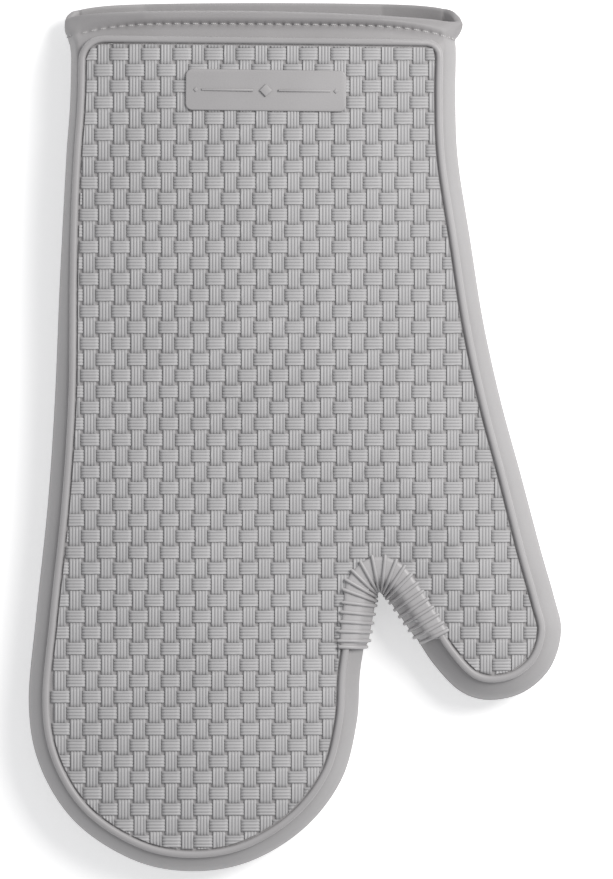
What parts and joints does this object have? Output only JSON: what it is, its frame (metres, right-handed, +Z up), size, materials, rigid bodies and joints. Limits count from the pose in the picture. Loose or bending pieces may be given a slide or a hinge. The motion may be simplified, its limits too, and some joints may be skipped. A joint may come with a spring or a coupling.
{
  "type": "oven mitt",
  "caption": "Long silicone oven mitt with a woven-texture palm, a ribbed thumb crotch, a padded cotton liner, and fingers and thumb that fold on the palm.",
  "frame": {"origin": "under the middle of the mitt's bounding box, in the plane that it lies on", "axes": "+Y along the hand towards the cuff, +X across the hand towards the thumb, +Z up out of the palm face"},
  "size_m": [0.2022, 0.3304, 0.0256],
  "materials": {
    "grey_silicone": "matt moulded silicone",
    "cotton_lining": "plain woven cotton",
    "cotton_padding": "soft felted wadding",
    "grey_thread": "twisted sewing thread"
  },
  "bodies": {
    "palm": {"palm_front_skin": "grey_silicone", "palm_back_skin": "grey_silicone", "palm_front_padding": "cotton_padding", "palm_back_padding": "cotton_padding", "palm_front_lining": "cotton_lining", "palm_back_lining": "cotton_lining", "crotch_sleeve": "grey_silicone", "name_plate": "grey_silicone", "cuff_thread": "grey_thread"},
    "fingers": {"finger_front_skin": "grey_silicone", "finger_back_skin": "grey_silicone", "finger_front_padding": "cotton_padding", "finger_back_padding": "cotton_padding", "finger_front_lining": "cotton_lining", "finger_back_lining": "cotton_lining"},
    "thumb": {"thumb_front_skin": "grey_silicone", "thumb_back_skin": "grey_silicone", "thumb_front_padding": "cotton_padding", "thumb_back_padding": "cotton_padding", "thumb_front_lining": "cotton_lining", "thumb_back_lining": "cotton_lining"}
  },
  "joints": [
    {"name": "finger_curl", "type": "hinge", "parent": "palm", "child": "fingers", "pos_m": [-0.04, -0.1, 0.0126], "axis": [-1, 0, 0], "range_deg": [0, 60]},
    {"name": "thumb_pinch", "type": "hinge", "parent": "palm", "child": "thumb", "pos_m": [0.04539, -0.0664, 0.0126], "axis": [-0.5, -0.866, 0], "range_deg": [0, 60], "deforming": ["crotch_sleeve"]}
  ]
}
